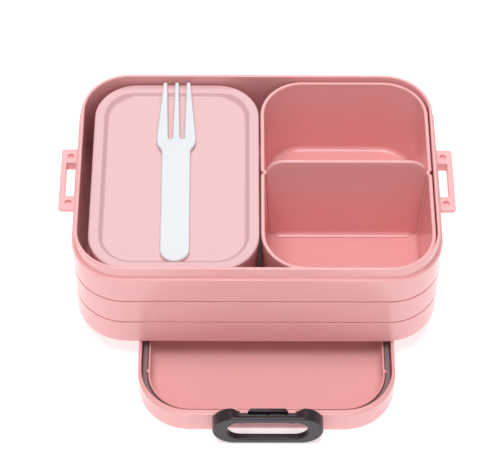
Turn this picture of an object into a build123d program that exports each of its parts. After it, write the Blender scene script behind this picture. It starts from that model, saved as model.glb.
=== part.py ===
"""Bento lunch box: an open outer box standing on its upside-down lid.

The outer box holds a snack box with its own lid, a food tray with a lift-out
divider, and a fork. The main lid carries a seal and two hinged latches.
Units are millimetres. +Z is up and z = 0 is the table.
"""

import os
from math import cos, pi, radians, sin, tan

from build123d import *

# ---- driving dimensions -------------------------------------------------

# outer box
BOX_LENGTH = 170.0            # along X
BOX_WIDTH = 119.4             # along Y
BOX_CORNER = 24.3
LEDGE_HEIGHT = 49.6           # the closed lid rests on this ledge
RIM_HEIGHT = 6.7              # the thin wall above the ledge
RIM_SET_IN = 1.4              # the rim stands this far inside the outer face
RIM_WALL = 1.5
BOX_FLOOR = 2.2
BOX_FOOT = 1.0                # the underside is hollowed by this much
FOOT_WIDTH = 7.0
GROOVE_HEIGHT = 0.9
GROOVE_DEPTH = 0.6
GROOVES = 2                   # they divide the wall into equal bands
BOX_BOTTOM_ROUND = 1.6
LEDGE_ROUND = 0.35
RIM_ROUND = 0.45
OVERLAP = 1.0                 # how far a cut or a joined solid goes past its face

# lugs that the latches close on, one at each end of the box
LUG_REACH = 7.4
LUG_WIDTH = 36.3
LUG_PLATE = 2.0
LUG_COLLAR = 5.4              # height of the wall round the slot, from the plate's top
LUG_COLLAR_WALL = 1.2
LUG_TOP = 48.0
LUG_CORNER = 1.6
LUG_SLOT_LENGTH = 19.7
LUG_SLOT_WIDTH = 4.3
LUG_BAR = 2.7                 # material outside the slot
LUG_SLOT_ROUND = 0.4
LUG_DIMPLE_RADIUS = 1.45
LUG_DIMPLE_DEPTH = 1.4
LUG_DIMPLE_SPACING = 27.6
LUG_DIMPLE_OUT = 3.0          # out from the box's end face

# main lid, lying upside down
LID_LENGTH = 170.0            # along Y
LID_WIDTH = 120.0             # along X
LID_CORNER = 24.4
LID_HEIGHT = 14.0
LID_PANEL = 1.8
SKIRT_WALL = 1.6
RIB_SET_IN = 4.65             # outer face of the inner rib, inside the skirt's outer face
RIB_WALL = 0.9
RIB_DROP = 4.5                # the rib's top is this far below the lid's rim
GROOVE_FLOOR = 5.2            # level of the seal's seat
NIB_RADIUS = 0.8
NIB_PLACE = 58.0
LID_FLOOR_FILLET = 4.0
LID_END_EXTRA = 1.4           # the walls at the latches are thicker by this much
POCKET_WIDTH = 43.0           # flat behind each latch
POCKET_DEPTH = 1.1
LID_OUTER_ROUND = 2.2
NIB_CLEARANCE = 0.3           # from a nib to the seal

# seal
SEAL_WIDTH = 2.7
SEAL_HEIGHT = 3.4
SEAL_ROUND = 0.8

# latches
HINGE_OUT = 3.2               # hinge axis, out from the lid's end face
HINGE_UP = 3.0                # hinge axis, above the lid's rim
BARREL_RADIUS = 2.0
BARREL_INTO_EAR = 1.6
CLIP_CLEARANCE = 0.05
CLIP_WALL = 1.1
CLIP_WIDTH = 2.2
CLIP_PLACE = 11.4
CLIP_ROOT = 6.0               # the clip's foot reaches this far below the lid's rim
CLIP_FRONT_END = -15.0        # degrees, where the clip's opening begins and ends
CLIP_BACK_END = 170.0
RING_WIDTH = 50.9
RING_HEIGHT = 20.6
RING_FACE_OUT = 7.2           # outer face, out from the lid's end face
RING_THICKNESS = 3.0
RING_TOP = 4.6                # above the hinge axis
HOLE_WIDTH = 37.6
HOLE_HEIGHT = 13.6
HOLE_TOP = 1.1                # the finger hole's top, above the hinge axis
LIP_THICKNESS = 1.8
LIP_ROOT = 0.4                # the lip starts this far above the finger hole
EAR_BACK_OUT = 1.1
EAR_INNER = 12.9
EAR_DROP = 7.5                # how far the ears reach below the hinge axis
EAR_HUMP = 17.5               # the ear's top is a hump here, out from the middle
EAR_HUMP_TOP = 4.33          # above the hinge axis
EAR_HUMP_BEND = 1.7           # how far the hump's curve runs on before it falls
EAR_HUMP_LIFT = 0.4           # how far the curve bows up before it falls
EAR_SADDLE = 12.0             # the hump has fallen to the barrel's top here
EAR_SADDLE_TOP = 1.8
EAR_SADDLE_BEND = 2.9
RING_ROUND = 0.7
TAB_FRONT = 18.5
TAB_BACK = 15.8
TAB_THICKNESS = 1.6
TAB_RISE = 4.4
PIP_HALF_WIDTH = 0.9
PIP_REACH = 1.5
PIP_RISE = 2.4
PIP_ROOT = 0.2                # how far the pip starts inside the tab
LATCH_SIDE_PLAY = 0.35        # the latches rest this far to the right in their clips

# inner boxes
TUB_DRAFT = 2.2               # degrees
TUB_WALL = 1.8
TUB_FLOOR = 1.8
TUB_FOOT = 2.0
TUB_FOOT_WIDTH = 6.0
TUB_FLOOR_FILLET = 2.4
TUB_FOOT_ROUND = 0.8
TUB_CORNER = 21.0
TRAY_WIDTH = 80.0
TRAY_LENGTH = 112.8
TRAY_RIM = 53.5               # above the outer box's underside
SNACK_WIDTH = 78.5
SNACK_LENGTH = 111.2
SNACK_RIM = 49.9
SNACK_CORNER = 20.3
SIDE_GAP = 0.4                # tray to the outer box's wall
TUB_GAP = 0.65                # tray to snack box
PLEAT_REACH = 1.4             # the V-shaped pleat at the middle of each side
PLEAT_WIDTH = 3.0

# snack box lid
SNACK_LID_EDGE = 1.8
SNACK_LID_BORDER = 5.0
SNACK_LID_ROUND = 0.8
SNACK_LID_RECESS = 2.0
SNACK_LID_PANEL = 1.6
PLUG_WALL = 1.3
PLUG_DEPTH = 4.4
PLUG_GAP = 0.5

# divider
DIVIDER_THICKNESS = 1.8
DIVIDER_TOP = 62.1            # above the outer box's underside
DIVIDER_CORNER = 9.0
DIVIDER_GAP = 0.35
DIVIDER_FOOT_REACH = 2.2
DIVIDER_FOOT_LIP = 0.3
DIVIDER_FOOT_CORNER = 3.0     # clears the fillet round the tray's floor

# fork
FORK_X = -37.6
FORK_THICKNESS = 2.0
FORK_TIP_Y = 55.0
FORK_ROOT_Y = 21.2            # bottom of the gaps between the tines
FORK_WIDEST_Y = 21.8
FORK_NECK_Y = 14.0            # the head bends up here
FORK_SHOULDER_Y = 13.8
FORK_END_Y = -50.1
FORK_HANDLE = 13.6
FORK_HEAD = 18.8
FORK_TIP_SPREAD = 11.1        # distance between the outer tines' tips
TINE_TIP = 1.9
TINE_GAP = 2.0
FORK_TIP_RISE = 2.6
FORK_UNDER_CHAMFER = 0.3
FORK_TURN = 0.5               # degrees, about +Z

# ---- places worked out from them ----------------------------------------

BOX_SHIFT = 14.7              # the outer box stands this far back on the lid
LID_SHIFT = 4.7               # the lid lies this far to the right
LATCH_X = LID_SHIFT + LATCH_SIDE_PLAY
BOX_BASE = LID_HEIGHT
RIM_TOP = LEDGE_HEIGHT + RIM_HEIGHT
BOX_FLOOR_TOP = BOX_FOOT + BOX_FLOOR
INNER_LENGTH = BOX_LENGTH - 2 * (RIM_SET_IN + RIM_WALL)
INNER_WIDTH = BOX_WIDTH - 2 * (RIM_SET_IN + RIM_WALL)
INNER_CORNER = BOX_CORNER - RIM_SET_IN - RIM_WALL
TRAY_X = INNER_LENGTH / 2 - SIDE_GAP - TRAY_WIDTH / 2
SNACK_X = TRAY_X - TRAY_WIDTH / 2 - TUB_GAP - SNACK_WIDTH / 2
TUB_FLOOR_TOP = BOX_FLOOR_TOP + TUB_FOOT + TUB_FLOOR
DRAFT_SLOPE = tan(radians(TUB_DRAFT))
SKIRT_INNER_WIDTH = LID_WIDTH - 2 * SKIRT_WALL
SKIRT_INNER_LENGTH = LID_LENGTH - 2 * SKIRT_WALL - 2 * LID_END_EXTRA
RIB_WIDTH = LID_WIDTH - 2 * RIB_SET_IN
RIB_LENGTH = LID_LENGTH - 2 * RIB_SET_IN - 2 * LID_END_EXTRA
RIB_CORNER = 19.2
LID_RIM = LID_HEIGHT
HINGE_Z = LID_RIM + HINGE_UP
SNACK_LID_TOP = SNACK_RIM + SNACK_LID_EDGE


def in_box(x, height):
    """A level plane in the outer box, at a height above its underside."""
    return Plane((x, BOX_SHIFT, BOX_BASE + height))


def on_lid(height):
    """A level plane in the upside-down lid, at a height above the table."""
    return Plane((LID_SHIFT, 0, height))


# ---- outer box ------------------------------------------------------------


def make_box():
    with BuildPart() as box:
        with BuildSketch(in_box(0, 0)):
            RectangleRounded(BOX_LENGTH, BOX_WIDTH, BOX_CORNER)
        extrude(amount=LEDGE_HEIGHT)
        fillet(box.edges().group_by(Axis.Z)[0], radius=BOX_BOTTOM_ROUND)
        fillet(box.edges().group_by(Axis.Z)[-1], radius=LEDGE_ROUND)
        rim_length = BOX_LENGTH - 2 * RIM_SET_IN
        rim_width = BOX_WIDTH - 2 * RIM_SET_IN
        with BuildSketch(in_box(0, LEDGE_HEIGHT - OVERLAP)):
            RectangleRounded(rim_length, rim_width, BOX_CORNER - RIM_SET_IN)
        extrude(amount=RIM_HEIGHT + OVERLAP)

        # the two grooves round the wall
        for number in range(GROOVES):
            level = LEDGE_HEIGHT * (number + 1) / (GROOVES + 1) - GROOVE_HEIGHT / 2
            with BuildSketch(in_box(0, level)):
                RectangleRounded(
                    BOX_LENGTH + 2 * OVERLAP, BOX_WIDTH + 2 * OVERLAP, BOX_CORNER + OVERLAP
                )
                RectangleRounded(
                    BOX_LENGTH - 2 * GROOVE_DEPTH,
                    BOX_WIDTH - 2 * GROOVE_DEPTH,
                    BOX_CORNER - GROOVE_DEPTH,
                    mode=Mode.SUBTRACT,
                )
            extrude(amount=GROOVE_HEIGHT, mode=Mode.SUBTRACT)

        # lugs: a plate, and a collar round its slot, cut by the cavity afterwards
        reach = BOX_LENGTH + 2 * LUG_REACH
        slot_x = BOX_LENGTH / 2 + LUG_REACH - LUG_BAR - LUG_SLOT_WIDTH / 2
        collar_reach = 2 * slot_x + LUG_SLOT_WIDTH + 2 * LUG_COLLAR_WALL
        with BuildSketch(in_box(0, LUG_TOP - LUG_PLATE)):
            RectangleRounded(reach, LUG_WIDTH, LUG_CORNER)
        extrude(amount=LUG_PLATE)
        with BuildSketch(in_box(0, LUG_TOP - LUG_COLLAR)):
            RectangleRounded(
                collar_reach, LUG_SLOT_LENGTH + 2 * LUG_COLLAR_WALL, LUG_SLOT_ROUND + LUG_COLLAR_WALL
            )
        extrude(amount=LUG_COLLAR)

        # cavity and hollow underside
        with BuildSketch(in_box(0, BOX_FLOOR_TOP)):
            RectangleRounded(INNER_LENGTH, INNER_WIDTH, INNER_CORNER)
        extrude(amount=RIM_TOP, mode=Mode.SUBTRACT)
        with BuildSketch(in_box(0, 0)):
            RectangleRounded(
                BOX_LENGTH - 2 * FOOT_WIDTH, BOX_WIDTH - 2 * FOOT_WIDTH, BOX_CORNER - FOOT_WIDTH
            )
        extrude(amount=BOX_FOOT, mode=Mode.SUBTRACT)

        # slots through the lugs, and a dimple beside each end of a slot
        with BuildSketch(in_box(0, LUG_TOP - LUG_COLLAR)):
            with Locations((slot_x, 0), (-slot_x, 0)):
                RectangleRounded(LUG_SLOT_WIDTH, LUG_SLOT_LENGTH, LUG_SLOT_ROUND)
        extrude(amount=LUG_COLLAR, mode=Mode.SUBTRACT)
        with BuildSketch(in_box(0, LUG_TOP - LUG_DIMPLE_DEPTH)):
            with GridLocations(BOX_LENGTH + 2 * LUG_DIMPLE_OUT, LUG_DIMPLE_SPACING, 2, 2):
                Circle(LUG_DIMPLE_RADIUS)
        extrude(amount=LUG_DIMPLE_DEPTH, mode=Mode.SUBTRACT)

        fillet(box.edges().group_by(Axis.Z)[-1], radius=RIM_ROUND)
    return box.part


# ---- main lid and its seal --------------------------------------------------


def end_section(side, place):
    """A plane across one end of the lid: local X is outward, local Y is up."""
    return Plane(
        origin=(LID_SHIFT + place, side * LID_LENGTH / 2, LID_RIM),
        x_dir=(0, side, 0),
        z_dir=(side, 0, 0),
    )


def end_face(side, out):
    """A plane facing outward at one end of the lid, centred on the hinge axis."""
    return Plane(
        origin=(LATCH_X, side * (LID_LENGTH / 2 + out), HINGE_Z),
        x_dir=(-side, 0, 0),
        z_dir=(0, side, 0),
    )


def polar_point(radius, degrees):
    """A point at a distance and direction from the hinge axis, in an end section."""
    turn = radians(degrees)
    return (HINGE_OUT + radius * cos(turn), HINGE_UP + radius * sin(turn))


def make_lid():
    with BuildPart() as lid:
        with BuildSketch(on_lid(0)):
            RectangleRounded(LID_WIDTH, LID_LENGTH, LID_CORNER)
        extrude(amount=LID_HEIGHT)
        fillet(lid.edges().group_by(Axis.Z)[0], radius=LID_OUTER_ROUND)

        # flats behind the latches
        with BuildSketch(on_lid(0)):
            with Locations((0, LID_LENGTH / 2), (0, -LID_LENGTH / 2)):
                Rectangle(POCKET_WIDTH, 2 * POCKET_DEPTH)
        extrude(amount=LID_HEIGHT, mode=Mode.SUBTRACT)

        # space inside the skirt, down to the seal's seat
        with BuildSketch(on_lid(GROOVE_FLOOR)):
            RectangleRounded(SKIRT_INNER_WIDTH, SKIRT_INNER_LENGTH, LID_CORNER - SKIRT_WALL)
        extrude(amount=LID_HEIGHT, mode=Mode.SUBTRACT)

        # inner rib and the hollow inside it
        with BuildSketch(on_lid(LID_PANEL)):
            RectangleRounded(RIB_WIDTH, RIB_LENGTH, RIB_CORNER)
        extrude(amount=LID_HEIGHT - RIB_DROP - LID_PANEL)
        with BuildSketch(on_lid(LID_PANEL)):
            RectangleRounded(
                RIB_WIDTH - 2 * RIB_WALL, RIB_LENGTH - 2 * RIB_WALL, RIB_CORNER - RIB_WALL
            )
        extrude(amount=LID_HEIGHT, mode=Mode.SUBTRACT)
        floor_edges = lid.edges().filter_by_position(Axis.Z, LID_PANEL - 0.01, LID_PANEL + 0.01)
        fillet(floor_edges, radius=LID_FLOOR_FILLET)

        # nibs that keep the seal down
        nib_base = GROOVE_FLOOR + SEAL_HEIGHT + NIB_CLEARANCE
        with BuildSketch(on_lid(nib_base)):
            with GridLocations(RIB_WIDTH, 2 * NIB_PLACE, 2, 2):
                Circle(NIB_RADIUS)
        extrude(amount=LID_HEIGHT - RIB_DROP - nib_base)

        # clips that the latches' barrels snap into
        for side in (-1, 1):
            for place in (-CLIP_PLACE, CLIP_PLACE):
                with BuildSketch(end_section(side, place)):
                    with Locations((HINGE_OUT, HINGE_UP)):
                        Circle(BARREL_RADIUS + CLIP_CLEARANCE + CLIP_WALL)
                    with BuildLine():
                        Polyline(
                            (-POCKET_DEPTH - 0.4, -0.4),
                            (0.6, HINGE_UP - 0.6),
                            (HINGE_OUT, HINGE_UP),
                            polar_point(BARREL_RADIUS + 1, -75),
                            (-POCKET_DEPTH - 0.4, -CLIP_ROOT),
                            close=True,
                        )
                    make_face()
                    with BuildLine():
                        Polyline(
                            (HINGE_OUT, HINGE_UP),
                            polar_point(9, CLIP_FRONT_END),
                            polar_point(13, 45),
                            polar_point(13, 100),
                            polar_point(9, CLIP_BACK_END),
                            close=True,
                        )
                    make_face(mode=Mode.SUBTRACT)
                    with Locations((HINGE_OUT, HINGE_UP)):
                        Circle(BARREL_RADIUS + CLIP_CLEARANCE, mode=Mode.SUBTRACT)
                extrude(amount=CLIP_WIDTH / 2, both=True)
    return lid.part


def make_seal():
    middle_width = (SKIRT_INNER_WIDTH + RIB_WIDTH) / 2
    middle_length = (SKIRT_INNER_LENGTH + RIB_LENGTH) / 2
    middle_corner = (LID_CORNER - SKIRT_WALL + RIB_CORNER) / 2
    with BuildPart() as seal:
        with BuildSketch(on_lid(GROOVE_FLOOR)):
            RectangleRounded(
                middle_width + SEAL_WIDTH, middle_length + SEAL_WIDTH, middle_corner + SEAL_WIDTH / 2
            )
            RectangleRounded(
                middle_width - SEAL_WIDTH,
                middle_length - SEAL_WIDTH,
                middle_corner - SEAL_WIDTH / 2,
                mode=Mode.SUBTRACT,
            )
        extrude(amount=SEAL_HEIGHT)
        fillet(seal.edges().group_by(Axis.Z)[-1], radius=SEAL_ROUND)
    return seal.part


# ---- latches --------------------------------------------------------------------


def make_latch(side):
    ring_middle = RING_TOP - RING_HEIGHT / 2
    hole_middle = HOLE_TOP - HOLE_HEIGHT / 2
    ear_depth = RING_FACE_OUT - EAR_BACK_OUT
    tab_out = HINGE_OUT - BARREL_RADIUS
    with BuildPart() as latch:
        # ring: the plate, with an ear at each end that reaches back to the lid
        with BuildSketch(end_face(side, RING_FACE_OUT)):
            with Locations((0, ring_middle)):
                SlotOverall(RING_WIDTH, RING_HEIGHT)
        extrude(amount=-ear_depth)
        with BuildSketch(end_face(side, EAR_BACK_OUT)):
            Rectangle(2 * EAR_INNER, 3 * RING_HEIGHT)
            with Locations((0, -EAR_DROP)):
                Rectangle(RING_WIDTH + 2, RING_HEIGHT, align=(Align.CENTER, Align.MAX))
        extrude(amount=ear_depth - RING_THICKNESS, mode=Mode.SUBTRACT)

        # hollows beside the ears and behind the lip
        above = 2 * RING_TOP
        with BuildSketch(end_face(side, EAR_BACK_OUT)):
            with BuildLine():
                Bezier(
                    (EAR_HUMP, EAR_HUMP_TOP),
                    (EAR_HUMP - EAR_HUMP_BEND, EAR_HUMP_TOP + EAR_HUMP_LIFT),
                    (EAR_SADDLE + EAR_SADDLE_BEND, EAR_SADDLE_TOP),
                    (EAR_SADDLE, EAR_SADDLE_TOP),
                )
                Polyline(
                    (EAR_SADDLE, EAR_SADDLE_TOP),
                    (EAR_SADDLE, above),
                    (EAR_HUMP, above),
                    (EAR_HUMP, EAR_HUMP_TOP),
                )
            make_face()
            mirror(about=Plane.YZ)
        extrude(amount=ear_depth - LIP_THICKNESS, mode=Mode.SUBTRACT)
        with BuildSketch(end_face(side, RING_FACE_OUT - RING_THICKNESS)):
            with Locations((0, HOLE_TOP + LIP_ROOT)):
                Rectangle(2 * EAR_INNER, RING_TOP, align=(Align.CENTER, Align.MIN))
        extrude(amount=RING_THICKNESS - LIP_THICKNESS, mode=Mode.SUBTRACT)

        # finger hole
        with BuildSketch(end_face(side, 0)):
            with Locations((0, hole_middle)):
                SlotOverall(HOLE_WIDTH, HOLE_HEIGHT)
        extrude(amount=RING_FACE_OUT + 1, mode=Mode.SUBTRACT)
        outermost = latch.faces().sort_by(Axis.Y)[-1 if side > 0 else 0]
        fillet(outermost.edges(), radius=RING_ROUND)

        # barrel
        with BuildSketch(end_section(side, LATCH_SIDE_PLAY)):
            with Locations((HINGE_OUT, HINGE_UP)):
                Circle(BARREL_RADIUS)
        extrude(amount=EAR_INNER + BARREL_INTO_EAR, both=True)

        # tab that hooks under the box's lug, and the pip at its root
        with BuildSketch(Plane((LATCH_X, side * (LID_LENGTH / 2 + tab_out), HINGE_Z))):
            with BuildLine():
                Polyline(
                    (-TAB_BACK / 2, 0),
                    (TAB_BACK / 2, 0),
                    (TAB_FRONT / 2, side * TAB_THICKNESS),
                    (-TAB_FRONT / 2, side * TAB_THICKNESS),
                    close=True,
                )
            make_face()
        extrude(amount=TAB_RISE)
        pip_out = tab_out + TAB_THICKNESS
        with BuildSketch(Plane((LATCH_X, side * (LID_LENGTH / 2 + pip_out), HINGE_Z))):
            with BuildLine():
                Polyline(
                    (-PIP_HALF_WIDTH, -side * PIP_ROOT),
                    (PIP_HALF_WIDTH, -side * PIP_ROOT),
                    (0, side * PIP_REACH),
                    close=True,
                )
            make_face()
        extrude(amount=PIP_RISE)
    return latch.part


# ---- snack box and food tray ----------------------------------------------------


def make_tub(x, width, length, rim, corner):
    """A drafted tub on a low foot, with a V-shaped pleat in both long sides."""
    levels = (BOX_FLOOR_TOP, rim)
    with BuildPart() as tub:
        for level in levels:
            shrink = (rim - level) * DRAFT_SLOPE
            with BuildSketch(in_box(x, level)):
                RectangleRounded(width - 2 * shrink, length - 2 * shrink, corner - shrink)
        loft(ruled=True)
        fillet(tub.edges().group_by(Axis.Z)[0], radius=TUB_FOOT_ROUND)

        # outer side of the pleats
        for side in (-1, 1):
            for level in levels:
                face = width / 2 - (rim - level) * DRAFT_SLOPE
                with BuildSketch(in_box(x, level)):
                    with BuildLine():
                        Polyline(
                            (side * (face + 1), PLEAT_WIDTH / 2 + 1),
                            (side * (face - PLEAT_REACH), 0),
                            (side * (face + 1), -PLEAT_WIDTH / 2 - 1),
                            close=True,
                        )
                    make_face()
            loft(ruled=True, mode=Mode.SUBTRACT)

        # inside
        for level in (TUB_FLOOR_TOP, rim):
            inset = TUB_WALL + (rim - level) * DRAFT_SLOPE
            with BuildSketch(in_box(x, level)):
                RectangleRounded(width - 2 * inset, length - 2 * inset, corner - inset)
        loft(ruled=True, mode=Mode.SUBTRACT)
        near_floor = (BOX_BASE + TUB_FLOOR_TOP - 0.01, BOX_BASE + TUB_FLOOR_TOP + 0.01)
        fillet(tub.edges().filter_by_position(Axis.Z, *near_floor), radius=TUB_FLOOR_FILLET)

        # inner side of the pleats
        for side in (-1, 1):
            for level in (TUB_FLOOR_TOP - 0.2, rim):
                face = width / 2 - TUB_WALL - (rim - level) * DRAFT_SLOPE
                with BuildSketch(in_box(x, level)):
                    with BuildLine():
                        Polyline(
                            (side * (face + 0.1), PLEAT_WIDTH / 2),
                            (side * (face - PLEAT_REACH), 0),
                            (side * (face + 0.1), -PLEAT_WIDTH / 2),
                            close=True,
                        )
                    make_face()
            loft(ruled=True)

        # hollow underside
        foot_inset = (rim - BOX_FLOOR_TOP) * DRAFT_SLOPE + TUB_FOOT_WIDTH
        with BuildSketch(in_box(x, BOX_FLOOR_TOP)):
            RectangleRounded(
                width - 2 * foot_inset, length - 2 * foot_inset, corner - foot_inset
            )
        extrude(amount=TUB_FOOT, mode=Mode.SUBTRACT)
    return tub.part


# ---- snack box lid ----------------------------------------------------------------


def make_snack_lid():
    recess_floor = SNACK_LID_TOP - SNACK_LID_RECESS
    plug_inset = TUB_WALL + PLUG_GAP
    plug_width = SNACK_WIDTH - 2 * plug_inset
    plug_length = SNACK_LENGTH - 2 * plug_inset
    plug_corner = SNACK_CORNER - plug_inset
    with BuildPart() as snack_lid:
        with BuildSketch(in_box(SNACK_X, SNACK_RIM)):
            RectangleRounded(SNACK_WIDTH, SNACK_LENGTH, SNACK_CORNER)
        extrude(amount=SNACK_LID_EDGE)

        # plug that goes inside the box
        with BuildSketch(in_box(SNACK_X, SNACK_RIM - PLUG_DEPTH)):
            RectangleRounded(plug_width, plug_length, plug_corner)
        extrude(amount=PLUG_DEPTH)
        with BuildSketch(in_box(SNACK_X, SNACK_RIM - PLUG_DEPTH)):
            RectangleRounded(
                plug_width - 2 * PLUG_WALL, plug_length - 2 * PLUG_WALL, plug_corner - PLUG_WALL
            )
        extrude(
            amount=recess_floor - SNACK_LID_PANEL - SNACK_RIM + PLUG_DEPTH, mode=Mode.SUBTRACT
        )

        # recess in the top, with soft edges
        with BuildSketch(in_box(SNACK_X, recess_floor)):
            RectangleRounded(
                SNACK_WIDTH - 2 * SNACK_LID_BORDER,
                SNACK_LENGTH - 2 * SNACK_LID_BORDER,
                SNACK_CORNER - SNACK_LID_BORDER,
            )
        extrude(amount=SNACK_LID_RECESS, mode=Mode.SUBTRACT)
        top = BOX_BASE + SNACK_LID_TOP
        fillet(snack_lid.edges().filter_by_position(Axis.Z, top - 0.01, top + 0.01), radius=SNACK_LID_ROUND)
        floor = BOX_BASE + recess_floor
        fillet(snack_lid.edges().filter_by_position(Axis.Z, floor - 0.01, floor + 0.01), radius=SNACK_LID_ROUND)

        # slots in the plug for the pleats
        with BuildSketch(in_box(SNACK_X, SNACK_RIM - PLUG_DEPTH)):
            with Locations((plug_width / 2, 0), (-plug_width / 2, 0)):
                Rectangle(2 * (PLEAT_REACH - PLUG_GAP + 0.3), PLEAT_WIDTH + 1)
        extrude(amount=PLUG_DEPTH, mode=Mode.SUBTRACT)
    return snack_lid.part


# ---- divider ------------------------------------------------------------------------


def make_divider():
    span_rim = TRAY_WIDTH / 2 - TUB_WALL - DIVIDER_GAP
    span_floor = span_rim - (TRAY_RIM - TUB_FLOOR_TOP) * DRAFT_SLOPE
    height = DIVIDER_TOP - TUB_FLOOR_TOP
    span_top = span_floor + height * DRAFT_SLOPE
    foot = (TRAY_X, BOX_SHIFT, BOX_BASE + TUB_FLOOR_TOP)
    half = DIVIDER_THICKNESS / 2
    with BuildPart() as divider:
        with BuildSketch(Plane(foot, x_dir=(1, 0, 0), z_dir=(0, -1, 0))) as outline:
            with BuildLine():
                Polyline(
                    (-span_floor, 0), (span_floor, 0), (span_top, height), (-span_top, height), close=True
                )
            make_face()
            fillet(outline.vertices().group_by(Axis.Y)[-1], radius=DIVIDER_CORNER)
            fillet(outline.vertices().group_by(Axis.Y)[0], radius=DIVIDER_FOOT_CORNER)
        extrude(amount=half, both=True)

        # flared foot
        flare_half = half + DIVIDER_FOOT_REACH
        flare_height = DIVIDER_FOOT_REACH + DIVIDER_FOOT_LIP
        with BuildSketch(Plane(foot, x_dir=(0, 1, 0), z_dir=(1, 0, 0))):
            Rectangle(2 * flare_half, flare_height, align=(Align.CENTER, Align.MIN))
            with Locations((-flare_half, flare_height), (flare_half, flare_height)):
                Circle(DIVIDER_FOOT_REACH, mode=Mode.SUBTRACT)
        extrude(amount=span_floor - DIVIDER_FOOT_CORNER, both=True)

        # notches in both ends that slide down the tray's pleats
        reach = PLEAT_REACH + DIVIDER_GAP + 0.1
        for side in (-1, 1):
            for level in (TUB_FLOOR_TOP, TRAY_RIM):
                face = TRAY_WIDTH / 2 - TUB_WALL - (TRAY_RIM - level) * DRAFT_SLOPE
                with BuildSketch(in_box(TRAY_X, level)):
                    with BuildLine():
                        Polyline(
                            (side * face, reach * PLEAT_WIDTH / 2 / PLEAT_REACH),
                            (side * (face - reach), 0),
                            (side * face, -reach * PLEAT_WIDTH / 2 / PLEAT_REACH),
                            close=True,
                        )
                    make_face()
            loft(ruled=True, mode=Mode.SUBTRACT)
    return divider.part


# ---- fork -----------------------------------------------------------------------------


def make_fork():
    turn = radians(FORK_TURN)
    along = (-sin(turn), cos(turn), 0)
    across = (cos(turn), sin(turn), 0)
    level = BOX_BASE + SNACK_LID_TOP - SNACK_LID_RECESS
    place = (FORK_X, BOX_SHIFT, level)
    end_radius = FORK_HANDLE / 2
    end_middle = FORK_END_Y + end_radius
    tip_half = (FORK_TIP_SPREAD + TINE_TIP) / 2
    head_half = FORK_HEAD / 2
    tip_gap = (FORK_TIP_SPREAD - 2 * TINE_TIP) / 2
    gap_place = FORK_TIP_SPREAD / 4
    with BuildPart() as fork:
        with BuildSketch(Plane(place, x_dir=across, z_dir=(0, 0, 1))) as outline:
            with BuildLine():
                ThreePointArc(
                    (0, FORK_END_Y),
                    (end_radius * sin(pi / 4), end_middle - end_radius * cos(pi / 4)),
                    (end_radius, end_middle),
                )
                Line((end_radius, end_middle), (end_radius, FORK_SHOULDER_Y))
                Bezier(
                    (end_radius, FORK_SHOULDER_Y),
                    (end_radius + 0.1, FORK_SHOULDER_Y + 2.4),
                    (head_half, FORK_SHOULDER_Y + 2.2),
                    (head_half, FORK_WIDEST_Y),
                )
                Line((head_half, FORK_WIDEST_Y), (tip_half, FORK_TIP_Y))
                Line((tip_half, FORK_TIP_Y), (0, FORK_TIP_Y))
                mirror(about=Plane.YZ)
            make_face()
            for side in (-1, 1):
                root = (side * gap_place, FORK_ROOT_Y + TINE_GAP / 2)
                with BuildLine():
                    Polyline(
                        (root[0] - TINE_GAP / 2, root[1]),
                        (root[0] + TINE_GAP / 2, root[1]),
                        (root[0] + tip_gap / 2, FORK_TIP_Y),
                        (root[0] - tip_gap / 2, FORK_TIP_Y),
                        close=True,
                    )
                make_face(mode=Mode.SUBTRACT)
                with Locations(root):
                    Circle(TINE_GAP / 2, mode=Mode.SUBTRACT)
            fillet(outline.vertices().group_by(Axis.Y)[-1], radius=TINE_TIP / 2 - 0.1)
        extrude(amount=FORK_TIP_RISE + 2 * FORK_THICKNESS)

        # the head rises from the neck to the tips
        with BuildSketch(Plane(place, x_dir=along, z_dir=across)):
            with BuildLine():
                Polyline(
                    (FORK_END_Y - 1, 0),
                    (FORK_NECK_Y, 0),
                    (FORK_TIP_Y, FORK_TIP_RISE),
                    (FORK_TIP_Y, FORK_TIP_RISE + FORK_THICKNESS),
                    (FORK_NECK_Y, FORK_THICKNESS),
                    (FORK_END_Y - 1, FORK_THICKNESS),
                    close=True,
                )
            make_face()
        extrude(amount=FORK_HEAD, both=True, mode=Mode.INTERSECT)
        lowest = fork.edges().filter_by_position(Axis.Z, level - 0.01, level + 0.01)
        chamfer(lowest.sort_by(Axis.Y)[:2], length=FORK_UNDER_CHAMFER)
    return fork.part


# ---- write the parts --------------------------------------------------------------------


def save(solid, name):
    solid.label = name
    export_step(solid, f"parts/{name}.step")


def main():
    os.makedirs("parts", exist_ok=True)
    save(make_box(), "lunch_box_body")
    save(make_lid(), "lunch_box_lid")
    save(make_seal(), "lid_seal")
    save(make_latch(-1), "latch_front")
    save(make_latch(1), "latch_rear")
    save(make_tub(SNACK_X, SNACK_WIDTH, SNACK_LENGTH, SNACK_RIM, SNACK_CORNER), "snack_box")
    save(make_snack_lid(), "snack_box_lid")
    save(make_tub(TRAY_X, TRAY_WIDTH, TRAY_LENGTH, TRAY_RIM, TUB_CORNER), "food_tray")
    save(make_divider(), "tray_divider")
    save(make_fork(), "fork")


main()
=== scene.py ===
from math import cos, pi, radians, sin, tan

import bmesh
import bpy
from bpy.props import FloatProperty, FloatVectorProperty, IntProperty, PointerProperty
from mathutils import Matrix, Vector


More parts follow.
